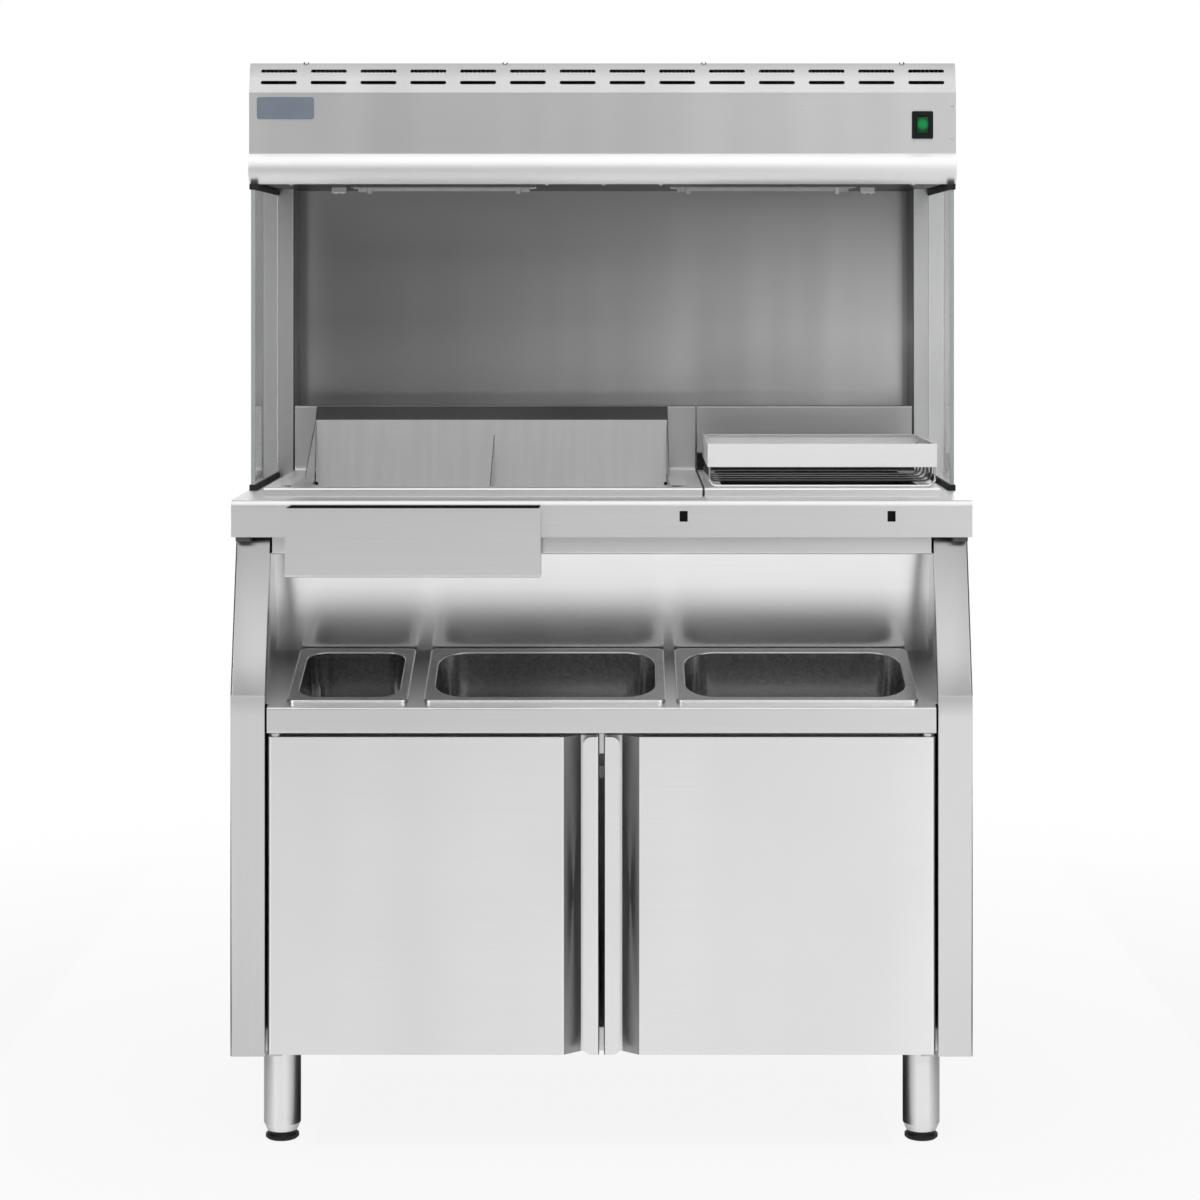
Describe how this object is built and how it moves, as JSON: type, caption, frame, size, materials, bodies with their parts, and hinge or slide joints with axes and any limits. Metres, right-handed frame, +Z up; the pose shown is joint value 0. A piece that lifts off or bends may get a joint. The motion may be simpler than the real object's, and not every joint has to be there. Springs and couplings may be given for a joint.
{
  "type": "fries station",
  "caption": "Stainless fries serving station: two-door cupboard on legs, tilted pan shelf, worktop with fries scuttle and wire rack, glass sides and a heated canopy.",
  "frame": {"origin": "on the floor, under the middle of the overall box", "axes": "+X to the right seen from the front, +Y to the rear, +Z up; the doors face -Y"},
  "size_m": [1, 0.624, 1.47],
  "materials": {
    "cabinet_steel": "satin brushed stainless sheet",
    "door_steel": "satin brushed stainless sheet, grain along the width",
    "worktop_steel": "satin brushed stainless sheet, grain along the length",
    "canopy_steel": "satin brushed stainless sheet, grain along the length",
    "pan_steel": "bright drawn stainless",
    "leg_steel": "turned stainless tube",
    "rack_steel": "bright wire and sheet",
    "zinc_plate": "dull plated steel",
    "black_plastic": "matt black moulding",
    "channel_rubber": "matt black rubber",
    "side_glass": "clear toughened glass",
    "reflector": "bright rolled aluminium",
    "heater_quartz": "frosted quartz tube",
    "switch_black": "gloss black moulding",
    "switch_green": "clear green lens",
    "grey_plastic": "matt grey moulding"
  },
  "bodies": {
    "cabinet": {"side_panel_left": "cabinet_steel", "side_panel_right": "cabinet_steel", "base_panel": "cabinet_steel", "back_panel": "cabinet_steel", "front_rail": "cabinet_steel", "bay_back_panel": "cabinet_steel", "bay_side_left": "cabinet_steel", "bay_side_right": "cabinet_steel", "pan_shelf": "cabinet_steel", "worktop": "worktop_steel", "scuttle_well": "worktop_steel", "rack_well": "worktop_steel", "leg_front_left": "leg_steel", "leg_front_right": "leg_steel", "leg_rear_left": "leg_steel", "leg_rear_right": "leg_steel", "hinge_pins_upper": "zinc_plate", "hinge_brackets_lower": "zinc_plate", "door_catch": "grey_plastic", "post_left": "canopy_steel", "post_right": "canopy_steel", "back_wall": "canopy_steel", "glass_left": "side_glass", "glass_right": "side_glass", "glass_channel_lower_left": "channel_rubber", "glass_channel_lower_right": "channel_rubber", "glass_channel_upper_left": "channel_rubber", "glass_channel_upper_right": "channel_rubber", "canopy_shell": "canopy_steel", "canopy_end_left": "canopy_steel", "canopy_end_right": "canopy_steel", "canopy_underside": "canopy_steel", "canopy_rear_cover": "canopy_steel", "cable_gland": "black_plastic", "terminal_box": "grey_plastic", "heater_reflector_left": "reflector", "heater_reflector_right": "reflector", "heater_tube_left": "heater_quartz", "heater_tube_right": "heater_quartz", "heater_clips": "zinc_plate", "switch_housing": "switch_black"},
    "door_left": {"door_left_skin": "door_steel", "door_left_liner": "cabinet_steel"},
    "door_right": {"door_right_skin": "door_steel", "door_right_liner": "cabinet_steel"},
    "switch_rocker": {"switch_rocker": "switch_green"},
    "foot_front_left": {"foot_front_left": "black_plastic"},
    "foot_front_right": {"foot_front_right": "black_plastic"},
    "foot_rear_left": {"foot_rear_left": "black_plastic"},
    "foot_rear_right": {"foot_rear_right": "black_plastic"},
    "pan_small": {"pan_small": "pan_steel"},
    "pan_middle": {"pan_middle": "pan_steel"},
    "pan_right": {"pan_right": "pan_steel"},
    "scuttle_insert": {"scuttle_insert": "worktop_steel"},
    "scuttle_divider": {"scuttle_divider": "worktop_steel"},
    "wire_rack": {"rack_band": "rack_steel", "rack_wires": "rack_steel"},
    "hung_box": {"hung_box": "worktop_steel"}
  },
  "joints": [
    {"name": "door_left_hinge", "type": "hinge", "parent": "cabinet", "child": "door_left", "pos_m": [-0.4363, -0.278, 0.34], "axis": [0, 0, -1], "range_deg": [0, 100]},
    {"name": "door_right_hinge", "type": "hinge", "parent": "cabinet", "child": "door_right", "pos_m": [0.4363, -0.278, 0.34], "axis": [0, 0, 1], "range_deg": [0, 100]},
    {"name": "switch_rock", "type": "hinge", "parent": "cabinet", "child": "switch_rocker", "pos_m": [0.4526, -0.06, 1.3815], "axis": [-1, 0, 0], "range_deg": [0, 14]},
    {"name": "foot_front_left_level", "type": "slide", "parent": "cabinet", "child": "foot_front_left", "axis": [0, 0, -1], "range_m": [0, 0.02]},
    {"name": "foot_front_right_level", "type": "slide", "parent": "cabinet", "child": "foot_front_right", "axis": [0, 0, -1], "range_m": [0, 0.02]},
    {"name": "foot_rear_left_level", "type": "slide", "parent": "cabinet", "child": "foot_rear_left", "axis": [0, 0, -1], "range_m": [0, 0.02]},
    {"name": "foot_rear_right_level", "type": "slide", "parent": "cabinet", "child": "foot_rear_right", "axis": [0, 0, -1], "range_m": [0, 0.02]},
    {"name": "pan_small_lift", "type": "slide", "parent": "cabinet", "child": "pan_small", "axis": [0, -0.2756, 0.9613], "range_m": [0, 0.105]},
    {"name": "pan_middle_lift", "type": "slide", "parent": "cabinet", "child": "pan_middle", "axis": [0, -0.2756, 0.9613], "range_m": [0, 0.105]},
    {"name": "pan_right_lift", "type": "slide", "parent": "cabinet", "child": "pan_right", "axis": [0, -0.2756, 0.9613], "range_m": [0, 0.105]},
    {"name": "scuttle_insert_lift", "type": "slide", "parent": "cabinet", "child": "scuttle_insert", "axis": [0, 0, 1], "range_m": [0, 0.1]},
    {"name": "scuttle_divider_lift", "type": "slide", "parent": "scuttle_insert", "child": "scuttle_divider", "axis": [0, 0, 1], "range_m": [0, 0.08]},
    {"name": "wire_rack_lift", "type": "slide", "parent": "cabinet", "child": "wire_rack", "axis": [0, 0, 1], "range_m": [0, 0.1]},
    {"name": "hung_box_lift", "type": "slide", "parent": "cabinet", "child": "hung_box", "axis": [0, 0, 1], "range_m": [0, 0.0105]}
  ]
}
